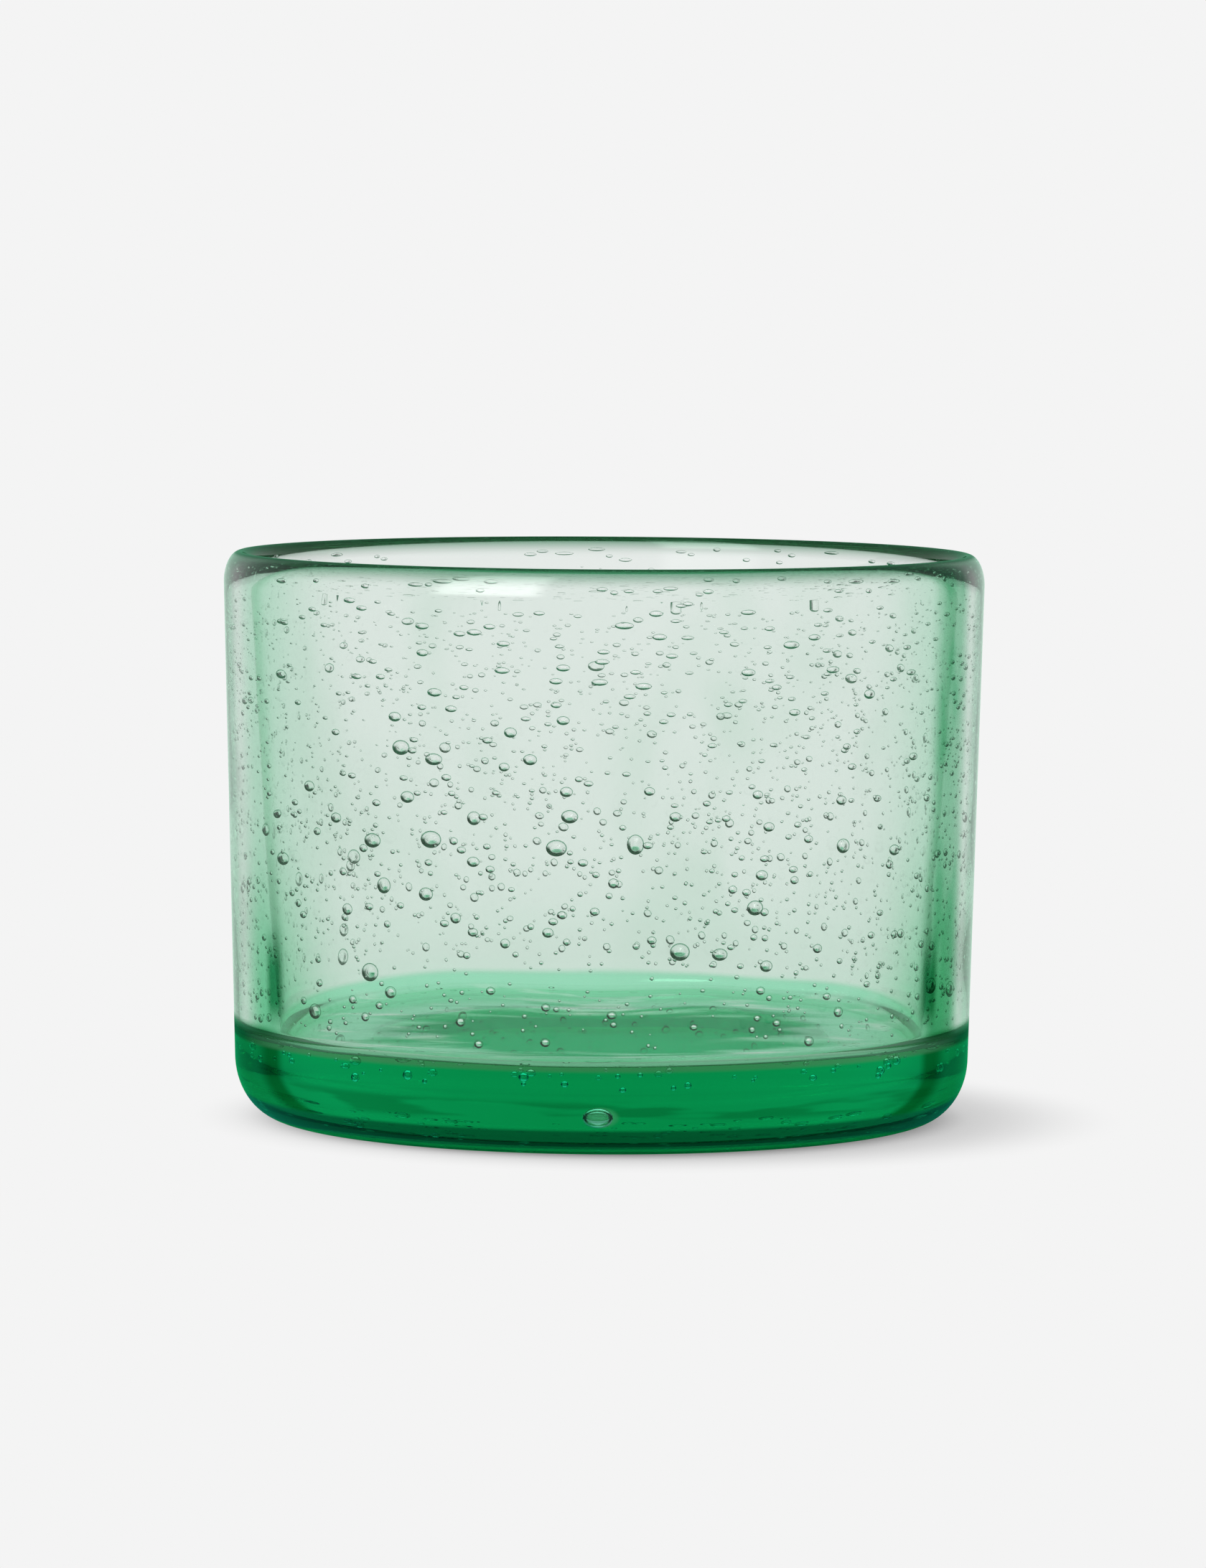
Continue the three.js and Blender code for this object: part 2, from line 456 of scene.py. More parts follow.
    def wall_tint(self, skin: Skin) -> Socket:
        """Colour of the wall and the rim, with a line of painted shade inside along the edges.

        Args:
            skin: What is known of the skin.

        Returns:
            The colour's socket.
        """
        tree = skin.tree
        lower = share(tree, (skin.height, self.wall_darkens))
        # Painted shade: a dark line inside the wall along each edge, darker lower down.
        line_shade = lay(tree, self.line_shade, (lower, self.line_shade_low))
        inside = lay(tree, self.wall, (share(tree, (skin.facing, self.line_shade_seen)), line_shade))
        flank = share(tree, (skin.radius, self.flank_radii), (skin.facing, self.flank_seen))
        rim = lay(tree, self.rim, (flank, self.rim_flank))
        on_outside = share(tree, (skin.radius, self.outside_radii))
        at_rim = share(tree, (skin.height, self.rim_heights))
        return lay(tree, inside, (on_outside, self.outside_tint(skin, lower)), (at_rim, rim))

    def base_tint(self, skin: Skin) -> Socket:
        """Colour of the outside of the base, with painted shade at its sides, ends and heel, and a painted
        glow at the lens.

        Args:
            skin: What is known of the skin.

        Returns:
            The colour's socket.
        """
        tree, height, facing = skin.tree, skin.height, skin.facing
        streaks = share(tree, (height, self.streak_heights), self.base_streaks.part(tree, skin.place))
        # Painted shade: the base is darker where it is seen edge on, at its sides.
        sideways = share(tree, (facing, self.side_shade_seen))
        base = lay(tree, self.base, (streaks, self.base_streak), (sideways, self.base_side_shade))
        aside = add_node(tree, "ShaderNodeMath", {0: skin.across}, operation="ABSOLUTE").outputs[0]
        # Painted shade: a darker streak near each end of the base.
        end_shade = share(tree, (aside, self.end_shade_aside), (facing, self.end_shade_seen))
        base = lay(tree, base, (end_shade, self.base_end_shade), blend=Blend.MULTIPLY)
        from_lens = {0: skin.place, 1: (0.0, -LENS_RADIUS, LENS_HEIGHT)}
        off = add_node(tree, "ShaderNodeVectorMath", from_lens, operation="SUBTRACT").outputs[0]
        stretched = {0: off, 1: self.glow_stretch}
        off = add_node(tree, "ShaderNodeVectorMath", stretched, operation="MULTIPLY").outputs[0]
        off = add_node(tree, "ShaderNodeVectorMath", {0: off}, operation="LENGTH").outputs["Value"]
        # Painted shadow of the table under the heel.
        heel = share(tree, (height, self.heel_shade_heights))
        glow = share(tree, (off, self.glow_reach))
        return lay(tree, base, (heel, self.heel), (glow, self.lens_glow))

    def cup_tint(self, skin: Skin) -> Socket:
        """Colour of the cup's floor, with a disc of painted shade and painted highlights on the ring.

        Args:
            skin: What is known of the skin.

        Returns:
            The colour's socket.
        """
        tree = skin.tree
        # Painted shade: a dark disc over the recess, where the shadowed table and dark reflections would be
        # seen; lighter from above.
        away = {0: skin.flat, 1: self.disc_middle}
        away = add_node(tree, "ShaderNodeVectorMath", away, operation="DISTANCE").outputs["Value"]
        shade_edge_noise = share(tree, self.shaded_disc_noise.part(tree, skin.place))
        centred = add_node(tree, "ShaderNodeMath", {0: shade_edge_noise, 1: 0.5}, operation="SUBTRACT").outputs[0]
        ragged = {0: centred, 1: 2 * self.disc_ragged, 2: away}
        ragged = add_node(tree, "ShaderNodeMath", ragged, operation="MULTIPLY_ADD").outputs[0]
        aslant = (skin.facing, self.disc_seen)
        shaded_disc = lay(tree, self.disc_from_above, (share(tree, aslant), self.shaded_disc))
        # Painted highlights: paler patches on the ring where it is seen aslant.
        ring_highlights = share(tree, aslant, self.ring_highlight_noise.part(tree, skin.place))
        ring = lay(tree, self.ring, (ring_highlights, self.ring_highlight))
        return lay(tree, shaded_disc, (share(tree, (ragged, self.disc_radii)), ring))

    def entering_tint(self, skin: Skin) -> Socket:
        """Colour of light that enters: the base, the collar, the wall with its rim, and the cup's floor.

        Args:
            skin: What is known of the skin.

        Returns:
            The colour's socket.
        """
        tree, height = skin.tree, skin.height
        # Painted shade: the collar is darker on its sides.
        collar = lay(tree, self.collar, (share(tree, (skin.facing, self.side_shade_seen)), self.collar_side_shade))
        upper = lay(tree, collar, (share(tree, (height, self.collar_top)), self.wall_tint(skin)))
        over_base = share(tree, (height, self.base_top))
        in_cup = share(tree, (skin.radius, self.cup_radii), (height, self.cup_heights))
        return lay(tree, self.base_tint(skin), (over_base, upper), (in_cup, self.cup_tint(skin)))

    def material(self) -> bpy.types.Material:
        """Builds the material.

        Returns:
            The green glass.
        """
        material, tree, output = new_material(self.name)
        skin = Skin.of(tree)
        at_fillet = share(tree, (skin.height, self.fillet_heights), (skin.facing, self.fillet_seen))
        leaving = lay(tree, self.leaving, (at_fillet, self.fillet))
        behind = add_node(tree, "ShaderNodeNewGeometry").outputs["Backfacing"]
        waves = add_node(tree, "ShaderNodeTexNoise", {
            "Vector": skin.place, "Scale": 1 / self.wave_spacing,
            "Detail": self.wave_detail, "Roughness": self.wave_roughness,
        })
        relief = add_node(tree, "ShaderNodeBump", {
            "Height": waves.outputs[0], "Strength": 1.0, "Distance": self.wave_height * MM,
        })
        surface = add_node(tree, "ShaderNodeBsdfGlass", {
            "Color": lay(tree, self.entering_tint(skin), (behind, leaving)),
            "Roughness": 0.0, "IOR": self.ior, "Normal": relief.outputs[0],
        })
        depth = add_node(tree, "ShaderNodeVolumeAbsorption", {
            "Color": linear(self.body_colour), "Density": self.absorption_per_metre,
        })
        tree.links.new(surface.outputs[0], output.inputs["Surface"])
        tree.links.new(depth.outputs[0], output.inputs["Volume"])
        return material


@dataclass(frozen=True)
class TrappedAir:
    """Air sealed in molten glass, which leaves a skin as smooth as liquid.

    The skin bends light the other way round, from glass to air. To the eye, the middle of a
    bubble is clear, and its outline is a dark green crescent on the side away from the light.
    There such a skin mirrors all light, so most of it is let straight on instead, and tinted.
    That tint is painted shade for the dark surroundings the outline would mirror; it is paler
    higher up and on the side that faces lit_from, as painted light from above and the right.
    """

    name: str
    glass_ior: float = 1.5
    middle: str = "FFFFFF"
    # Painted shade: the outline's tint stands in for dark surroundings mirrored in the skin; paler higher up
    # and on the lit side.
    outline: str = "004426"
    outline_by_rim: str = "1C7450"
    outline_lit_side: str = "3C9470"
    outline_seen: Limits = (0.12, 0.26)
    lit_side_seen: Limits = (0.4, 0.75)
    pale_heights: Limits = (34.0, 52.0)
    lit_side: Limits = (-0.45, 0.1)
    lit_from: tuple[float, float, float] = (0.45, 0.0, 0.9)
    straight_seen: Limits = (0.1, 0.26)
    straight_share: float = 0.95

    def material(self) -> bpy.types.Material:
        """Builds the material.

        Returns:
            The trapped air.
        """
        material, tree, output = new_material(self.name)
        height = add_node(tree, "ShaderNodeSeparateXYZ", {"Vector": place_in_mm(tree)}).outputs["Z"]
        lit = {0: add_node(tree, "ShaderNodeTexCoord").outputs["Normal"], 1: self.lit_from}
        lit = add_node(tree, "ShaderNodeVectorMath", lit, operation="DOT_PRODUCT").outputs["Value"]
        facing = add_node(tree, "ShaderNodeLayerWeight", {"Blend": 0.5}).outputs["Facing"]
        by_rim = share(tree, (height, self.pale_heights))
        # Painted light: the outline is paler and narrower on the side facing lit_from, darker on the side
        # away.
        lit_side = share(tree, (lit, self.lit_side))
        outline = lay(tree, self.outline, (by_rim, self.outline_by_rim), (lit_side, self.outline_lit_side))
        edge = add_node(tree, "ShaderNodeMix", {
            "Factor": lit_side,
            "A": share(tree, (facing, self.outline_seen)),
            "B": share(tree, (facing, self.lit_side_seen)),
        }, data_type="FLOAT").outputs[0]
        entered = lay(tree, self.middle, (edge, outline))
        behind = add_node(tree, "ShaderNodeNewGeometry").outputs["Backfacing"]
        bent = add_node(tree, "ShaderNodeBsdfGlass", {
            "Color": linear(self.middle), "Roughness": 0.0, "IOR": 1 / self.glass_ior,
        })
        tint = lay(tree, entered, (behind, self.middle))
        straight = add_node(tree, "ShaderNodeBsdfTransparent", {"Color": tint})
        most = {"Factor": share(tree, (facing, self.straight_seen)), "A": 0.0, "B": self.straight_share}
        most = add_node(tree, "ShaderNodeMix", most, data_type="FLOAT").outputs[0]
        surface = add_node(tree, "ShaderNodeMixShader", {0: most, 1: bent.outputs[0], 2: straight.outputs[0]})
        tree.links.new(surface.outputs[0], output.inputs["Surface"])
        return material


@dataclass
class GlassBody:
    """The fused gathers and the rim as one closed skin of glass, turned from its half section."""

    name: str = "glass_body"
    rim_diameter: float = 80.0
    foot_diameter: float = 77.4
    height: float = 59.6
    heel_reach: float = 5.1
    heel_rise: float = 6.6
    foot_ring_width: float = 9.5
    recess_depth: float = 0.9
    lip_outer_reach: float = 1.7
    lip_outer_rise: float = 3.2
    lip_inner_rise: float = 1.3
    wall_at_lip: float = 2.55
    wall_at_floor: float = 4.4
    floor_height: float = 9.0
    floor_crown: float = 0.05
    fillet_reach: float = 1.8
    fillet_rise: float = 1.5
    steps_round: int = 256
    steps_up: int = 56
    recess_steps: int = 20
    ring_steps: int = 4
    heel_steps: int = 18
    outer_lip_steps: int = 14
    inner_lip_steps: int = 10
    fillet_steps: int = 14
    floor_steps: int = 60
    wave_depth: float = 0.1
    floor_wave_share: float = 0.12
    wave_length: float = 11.0
    calm_below_lip: float = 6.0
    inside_slack: float = 0.1
    inside_wall_share: float = 0.4

    def outer_radius(self, z: float) -> float:
        """Radius of the outside at a height between the heel and the shoulder, in mm."""
        upward = (z - self.heel_rise) / (self.height - self.lip_outer_rise - self.heel_rise)
        return (self.foot_diameter + (self.rim_diameter - self.foot_diameter) * upward) / 2

    def inner_radius(self, z: float) -> float:
        """Radius of the inside of the cup.

        Args:
            z: A height above the fillet, in mm.

        Returns:
            The radius in mm.
        """
        low = self.fillet_top()
        upward = (z - low) / (self.height - self.lip_inner_rise - low)
        return self.outer_radius(z) - self.wall_at_floor - (self.wall_at_lip - self.wall_at_floor) * upward

    def fillet_top(self) -> float:
        """Height at which the wall turns in towards the floor of the cup, in mm."""
        return self.floor_height + self.fillet_rise

    def floor_reach(self) -> float:
        """Radius at which the cup's floor starts to turn up into the wall, in mm."""
        return self.inner_radius(self.fillet_top()) - self.fillet_reach

    @staticmethod
    def bow(centre: Point, reach: float, rise: float, start: float, end: float, steps: int) -> list[Point]:
        """Points of an elliptical arc in the half section.

        Args:
            centre: Radius and height of the arc's centre.
            reach: Half width of the ellipse.
            rise: Half height of the ellipse.
            start: First angle in degrees.
            end: Last angle in degrees.
            steps: Number of straight steps.

        Returns:
            Radius and height of each point, both ends included.
        """
        angles = [math.radians(start + (end - start) * i / steps) for i in range(steps + 1)]
        return [(centre[0] + reach * math.cos(a), centre[1] + rise * math.sin(a)) for a in angles]

    @staticmethod
    def saucer(edge: float, height: float, rise: float, steps: int) -> list[Point]:
        """Points of a shallow dome, from its edge to the axis."""
        shares = [1 - i / steps for i in range(steps + 1)]
        return [(edge * s, height + rise * (1 - s * s)) for s in shares]

    def half_section(self) -> list[Point]:
        """The outline from the axis under the base, round the outside, over the lip and in to the axis.

        Returns:
            Radius and height of each point.
        """
        ring_outer = self.foot_diameter / 2 - self.heel_reach
        ring_inner = ring_outer - self.foot_ring_width
        shoulder = self.height - self.lip_outer_rise
        crest = self.rim_diameter / 2 - self.lip_outer_reach
        inner_shoulder = self.height - self.lip_inner_rise
        inner_reach = crest - self.inner_radius(inner_shoulder)
        heel = (ring_outer, self.heel_rise)
        fillet_top = self.fillet_top()
        fillet = (self.floor_reach(), fillet_top)
        points = self.saucer(ring_inner, 0, self.recess_depth, self.recess_steps)[::-1]
        for i in range(1, self.ring_steps):
            points.append((ring_inner + self.foot_ring_width * i / self.ring_steps, 0))
        points += self.bow(heel, self.heel_reach, self.heel_rise, -90, 0, self.heel_steps)
        for i in range(1, self.steps_up):
            z = self.heel_rise + (shoulder - self.heel_rise) * i / self.steps_up
            points.append((self.outer_radius(z), z))
        outer_lip = (self.lip_outer_reach, self.lip_outer_rise)
        points += self.bow((crest, shoulder), *outer_lip, 0, 90, self.outer_lip_steps)
        inner_lip = (inner_reach, self.lip_inner_rise)
        points += self.bow((crest, inner_shoulder), *inner_lip, 90, 180, self.inner_lip_steps)[1:]
        for i in range(1, self.steps_up):
            z = inner_shoulder + (fillet_top - inner_shoulder) * i / self.steps_up
            points.append((self.inner_radius(z), z))
        points += self.bow(fillet, self.fillet_reach, self.fillet_rise, 0, -90, self.fillet_steps)
        return points + self.saucer(fillet[0], self.floor_height, self.floor_crown, self.floor_steps)[1:]

    def is_inside(self, radius: float, z: float) -> bool:
        """Whether a point of the skin is on the inside of the cup."""
        outermost = self.outer_radius(z) - self.inside_wall_share * self.wall_at_lip
        return z >= self.floor_height - self.inside_slack and radius <= outermost

    def wave(self, body: bpy.types.Object) -> None:
        """Lets the inside of the cup run in low waves, as blown glass does, deeper towards the floor.

        Args:
            body: The turned skin.
        """
        group = body.vertex_groups.new(name="inside")
        for vertex in body.data.vertices:
            radius, z = vertex.co.xy.length / MM, vertex.co.z / MM
            if not self.is_inside(radius, z):
                continue
            down = self.height - self.calm_below_lip - z
            fall = min(max(down / (self.height - self.floor_height), 0), 1)
            if radius < self.floor_reach():
                fall *= self.floor_wave_share
            group.add([vertex.index], fall, "REPLACE")
        texture = bpy.data.textures.new("slow_waves", "CLOUDS")
        texture.noise_scale = self.wave_length * MM
        texture.noise_depth = 0
        bpy.context.view_layer.objects.active = body
        bpy.ops.object.modifier_add(type="DISPLACE")
        ripple = body.modifiers[-1]
        ripple.texture = texture
        ripple.texture_coords = "LOCAL"
        ripple.direction = "NORMAL"
        ripple.mid_level = 0.5
        ripple.strength = self.wave_depth * 2 * MM
        ripple.vertex_group = group.name
        bpy.ops.object.modifier_apply(modifier=ripple.name)
        body.vertex_groups.clear()

    def build(self, finish: bpy.types.Material) -> bpy.types.Object:
        """Builds and dresses the glass.

        Args:
            finish: The green glass.

        Returns:
            The finished piece.
        """
        body = turn(self.name, self.half_section(), self.steps_round)
        self.wave(body)
        return finish_piece(body, finish, *CAD_NODES)


@dataclass(frozen=True)
class Bubble:
    """One bubble as it is wanted.

    Attributes:
        angle: Its place round the glass in degrees.
        height: Height of its centre in mm.
        width: Its width round the glass in mm.
        squash: Its height as a share of its width.
        depth: Its place in the wall, from 0 at the inside to 1 at the outside.
    """

    angle: float
    height: float
    width: float
    squash: float = 0.8
    depth: float = 0.5

    def on(self, radius: float) -> Vector:
        """Centre of the bubble at a radius, in mm."""
        heading = math.radians(self.angle - 90)
        return Vector((radius * math.cos(heading), radius * math.sin(heading), self.height))

    def pocket(self, radius: float, thickness: float, height: float | None = None) -> Pocket:
        """The room that the bubble takes.

        Args:
            radius: Distance of its centre from the axis in mm.
            thickness: Its size outwards from the axis in mm.
            height: Its size upwards in mm, or None for what its squash gives.

        Returns:
            Its centre, turn and size.
        """
        tall = self.width * self.squash if height is None else height
        return self.on(radius), math.radians(self.angle - 90), Vector((thickness, self.width, tall))


@dataclass(frozen=True)
class Lot:
    """A lot of bubbles that are scattered together.

    Attributes:
        tries: Number of bubbles tried, of which some find no room.
        least: Smallest width in mm.
        most: Largest width in mm.
        lean: Power that makes small ones commoner than large ones.
        seed: Seed of its random numbers.
        lowest: Least height in mm, or None for the foot of the wall.
    """

    tries: int
    least: float
    most: float
    lean: float
    seed: int
    lowest: float | None = None

    def width(self, dice: random.Random) -> float:
        """Draws the width of one bubble, in mm."""
        return self.least + (self.most - self.least) * dice.random() ** self.lean


class BallDetail(Enum):
    """Subdivisions of the ball that a bubble is shaped from."""

    PINHEAD = 1
    SEED = 2
    BLISTER = 3


class BubbleMaker:
    """Models one ball and copies it into every pocket of a cloud of bubbles."""

    def __init__(self, detail: BallDetail) -> None:
        """Keeps the ball's detail."""
        self.detail = detail

    def ball(self) -> bpy.types.Object:
        """Models the ball that is copied.

        Returns:
            A smooth ball, 1 mm across.
        """
        start_clean()
        bpy.ops.mesh.primitive_ico_sphere_add(subdivisions=self.detail.value, radius=0.5 * MM)
        ball = bpy.context.object
        bpy.ops.object.shade_smooth()
        return ball

    def cloud(self, name: str, pockets: list[Pocket]) -> bpy.types.Object:
        """Copies the ball into each pocket and joins the copies.

        Args:
            name: The finished piece's name.
            pockets: Centre, turn and size of each bubble.

        Returns:
            The joined bubbles.
        """
        ball = self.ball()
        copies = []
        for centre, heading, size in pockets:
            copy = ball.copy()
            copy.data = ball.data.copy()
            turned = Matrix.Translation(centre * MM) @ Matrix.Rotation(heading, 4, "Z")
            copy.data.transform(turned @ Matrix.Diagonal((*size, 1)))
            bpy.context.scene.collection.objects.link(copy)
            copies.append(copy)
        bpy.data.objects.remove(ball)
        start_clean()
        for copy in copies:
            copy.select_set(True)
        bpy.context.view_layer.objects.active = copies[0]
        bpy.ops.object.join()
        joined = bpy.context.object
        joined.name = joined.data.name = name
        return joined


@dataclass
class BubbleField:
    """The places already taken by bubbles, so that no two run into each other."""

    cell: float = 3.0
    gap: float = 0.12
    taken: dict[tuple[int, ...], list[tuple[Vector, float]]] = field(default_factory=dict)

    def claim(self, centre: Vector, reach: float) -> bool:
        """Takes a place if it is free.

        Args:
            centre: Centre of the bubble in mm.
            reach: Distance from there that it keeps free, in mm.

        Returns:
            True if the place was free and is now taken.
        """
        key = tuple(int(math.floor(c / self.cell)) for c in centre)
        near = [(i, j, k) for i in (-1, 0, 1) for j in (-1, 0, 1) for k in (-1, 0, 1)]
        for i, j, k in near:
            for other, other_reach in self.taken.get((key[0] + i, key[1] + j, key[2] + k), ()):
                if (other - centre).length < reach + other_reach + self.gap:
                    return False
        self.taken.setdefault(key, []).append((centre, reach))
        return True


@dataclass
class WallBubbles:
    """Bubbles in the wall: large ones placed as in the photograph, and others scattered between them."""

    glass: GlassBody
    taken: BubbleField
    skin: float = 0.3
    seed: int = 7
    blisters: tuple[Bubble, ...] = (
        Bubble(-32, 41.2, 1.9), Bubble(-27, 32.0, 2.2), Bubble(-7, 31.5, 2.1), Bubble(-28, 26.4, 1.5, 0.9),
        Bubble(-20, 34.3, 1.4, 1.0, 0.2), Bubble(-5, 34.7, 1.7), Bubble(-31, 36.2, 1.5),
        Bubble(-5.5, 37.2, 1.3), Bubble(-51, 36.6, 1.4), Bubble(-45, 33.6, 1.3),
        Bubble(-36, 27.0, 1.5, 1.1, 0.15),
        Bubble(-43, 24.3, 1.2, 1.0), Bubble(-39, 18.0, 1.9, 1.0, 0.2), Bubble(-51, 13.4, 1.6, 1.0),
        Bubble(-64, 31.5, 1.3, 1.0), Bubble(-23, 24.1, 1.1, 1.0), Bubble(-20, 29.9, 1.3),
        Bubble(-11, 40.4, 1.4), Bubble(-15, 39.6, 1.1), Bubble(5, 31.9, 1.7, 1.2, 0.2),
        Bubble(-15, 21.7, 1.0, 1.0), Bubble(12, 21.0, 2.0, 0.9), Bubble(24, 25.3, 1.7, 0.9),
        Bubble(25, 28.6, 1.3), Bubble(22.5, 26.9, 0.9), Bubble(11, 34.7, 1.2),
        Bubble(40, 31.2, 1.5, 1.0, 0.2), Bubble(33, 32.1, 1.0), Bubble(51, 30.4, 1.4),
        Bubble(26, 33.5, 1.2), Bubble(24, 36.8, 1.1),
        Bubble(39, 35.9, 1.2), Bubble(7, 37.3, 1.1), Bubble(-33, 44.3, 1.4, 0.7), Bubble(-6, 49.7, 1.4, 0.5),
        Bubble(-6, 44.4, 1.3, 0.7), Bubble(-14, 43.1, 1.3, 0.8), Bubble(-28, 50.9, 1.3, 0.55),
        Bubble(44, 46.6, 1.4, 0.7), Bubble(-135, 54.4, 2.2, 0.4), Bubble(133, 53.8, 2.1, 0.42),
        Bubble(3, 54.0, 1.9, 0.38), Bubble(-28, 53.6, 1.5, 0.45), Bubble(29, 51.9, 1.8, 0.45),
        Bubble(33, 52.6, 1.4, 0.45), Bubble(22, 49.2, 1.5, 0.5), Bubble(152, 54.2, 1.9, 0.4),
    )
    other_blisters: Lot = Lot(60, 1.0, 2.0, 1.7, 1)
    flats: Lot = Lot(150, 0.9, 1.8, 1.4, 4, lowest=44.0)
    flats_in_rim: Lot = Lot(110, 0.8, 2.2, 1.5, 9)
    seeds: Lot = Lot(1600, 0.42, 1.1, 2.0, 2)
    pinheads: Lot = Lot(2100, 0.26, 0.5, 1.0, 3)
    above_floor: float = 2.2
    below_lip: float = 3.4
    rise_lean: float = 0.9
    kept_free: float = 0.45
    kept_free_in_rim: float = 0.4
    deeper_than_high: float = 0.15
    roundest: float = 0.88
    flattening: float = 0.5
    flattens_from: float = 26.0
    flattens_over: float = 26.0
    squash_varies: tuple[float, float] = (0.85, 1.15)
    squash_most: float = 1.1
    rim_heights: tuple[float, float] = (56.9, 58.4)
    rim_inset: float = 1.55
    rim_depth: float = 0.55
    rim_flattest: float = 0.34
    rim_flatness_varies: float = 0.12

    def squash_at(self, z: float) -> float:
        """Height of a bubble over its width: drawn flat by the rim, round below the middle."""
        drawn = min(max((z - self.flattens_from) / self.flattens_over, 0), 1)
        return self.roundest - self.flattening * drawn

    def place(self, bubble: Bubble) -> Pocket | None:
        """Fits a bubble between the inside and the outside of the wall.

        Args:
            bubble: The bubble wanted.

        Returns:
            Its centre, turn and size, or None where another bubble is in the way.
        """
        inner, outer = self.glass.inner_radius(bubble.height), self.glass.outer_radius(bubble.height)
        room = outer - inner - 2 * self.skin
        thickness = min(bubble.width * min(1.0, bubble.squash + self.deeper_than_high), room)
        low, high = inner + self.skin + thickness / 2, outer - self.skin - thickness / 2
        pocket = bubble.pocket(low + (high - low) * bubble.depth, thickness)
        return pocket if self.taken.claim(pocket[0], bubble.width * self.kept_free) else None

    def scatter(self, lot: Lot) -> list[Pocket]:
        """Scatters a lot of bubbles round the wall.

        Args:
            lot: The lot.

        Returns:
            The pockets that found room.
        """
        dice = random.Random(self.seed + lot.seed)
        found = []
        low = lot.lowest or self.glass.floor_height + self.above_floor
        high = self.glass.height - self.below_lip
        for _ in range(lot.tries):
            z = low + (high - low) * dice.random() ** self.rise_lean
            width = lot.width(dice)
            squash = min(self.squash_at(z) * dice.uniform(*self.squash_varies), self.squash_most)
            pocket = self.place(Bubble(dice.uniform(0, 360), z, width, squash, dice.random()))
            if pocket:
                found.append(pocket)
        return found

    def in_rim(self, lot: Lot) -> list[Pocket]:
        """Draws flat bubbles out along the rim, inside the rounded lip.

        Args:
            lot: The lot.

        Returns:
            The pockets that found room.
        """
        dice = random.Random(self.seed + lot.seed)
        radius = self.glass.rim_diameter / 2 - self.rim_inset
        found = []
        for _ in range(lot.tries):
            bubble = Bubble(dice.uniform(0, 360), dice.uniform(*self.rim_heights), lot.width(dice))
            if self.taken.claim(bubble.on(radius), bubble.width * self.kept_free_in_rim):
                height = self.rim_flattest + self.rim_flatness_varies * dice.random()
                found.append(bubble.pocket(radius, self.rim_depth, height))
        return found

    def build(self, finish: bpy.types.Material, fine: bpy.types.Material) -> list[bpy.types.Object]:
        """Builds the large, the flat and the two small sizes of bubble in the wall.

        Args:
            finish: The trapped air of the large ones.
            fine: The trapped air of the small ones.

        Returns:
            The finished pieces.
        """
        blisters = [pocket for pocket in map(self.place, self.blisters) if pocket]
        blisters += self.scatter(self.other_blisters)
        flats = self.scatter(self.flats) + self.in_rim(self.flats_in_rim)
        seeds = self.scatter(self.seeds)
        pinheads = self.scatter(self.pinheads)
        return [
            finish_piece(BubbleMaker(BallDetail.BLISTER).cloud("wall_blisters", blisters), finish),
            finish_piece(BubbleMaker(BallDetail.SEED).cloud("wall_flats", flats), finish),
            finish_piece(BubbleMaker(BallDetail.SEED).cloud("wall_seeds", seeds), fine),
            finish_piece(BubbleMaker(BallDetail.PINHEAD).cloud("wall_pinheads", pinheads), fine),
        ]


@dataclass
class BaseBubbles:
    """Seeds under the cup's floor and the one large bubble in the front of the base."""

    glass: GlassBody
    taken: BubbleField
    seeds: Lot = Lot(150, 0.4, 1.15, 2.0, 21)
    depths: tuple[float, float] = (0.5, 2.0)
    past_floor: float = 3.2
    outward_lean: float = 0.42
    squashes: tuple[float, float] = (0.8, 1.0)
    lens: Bubble = Bubble(-0.5, LENS_HEIGHT, 3.1, 0.62)
    lens_thickness: float = 2.2

    def under_floor(self) -> list[Pocket]:
        """Scatters seeds in the glass under the cup's floor.

        Returns:
            The pockets that found room.
        """
        dice = random.Random(self.seeds.seed)
        reach = self.glass.floor_reach() + self.past_floor
        found = []
        for _ in range(self.seeds.tries):
            radius = reach * dice.random() ** self.outward_lean
            angle = dice.uniform(0, 360)
            width = self.seeds.width(dice)
            z = self.glass.floor_height - width / 2 - dice.uniform(*self.depths)
            bubble = Bubble(angle, z, width, dice.uniform(*self.squashes))
            if self.taken.claim(bubble.on(radius), width / 2):
                found.append(bubble.pocket(radius, width))
        return found

    def build(self, finish: bpy.types.Material) -> list[bpy.types.Object]:
        """Builds the bubbles of the base.

        Args:
            finish: The trapped air.

        Returns:
            The finished pieces.
        """
        seeds = BubbleMaker(BallDetail.SEED).cloud("base_seeds", self.under_floor())
        lens = self.lens.pocket(LENS_RADIUS, self.lens_thickness)
        blister = BubbleMaker(BallDetail.BLISTER).cloud("base_blister", [lens])
        return [finish_piece(seeds, finish), finish_piece(blister, finish)]


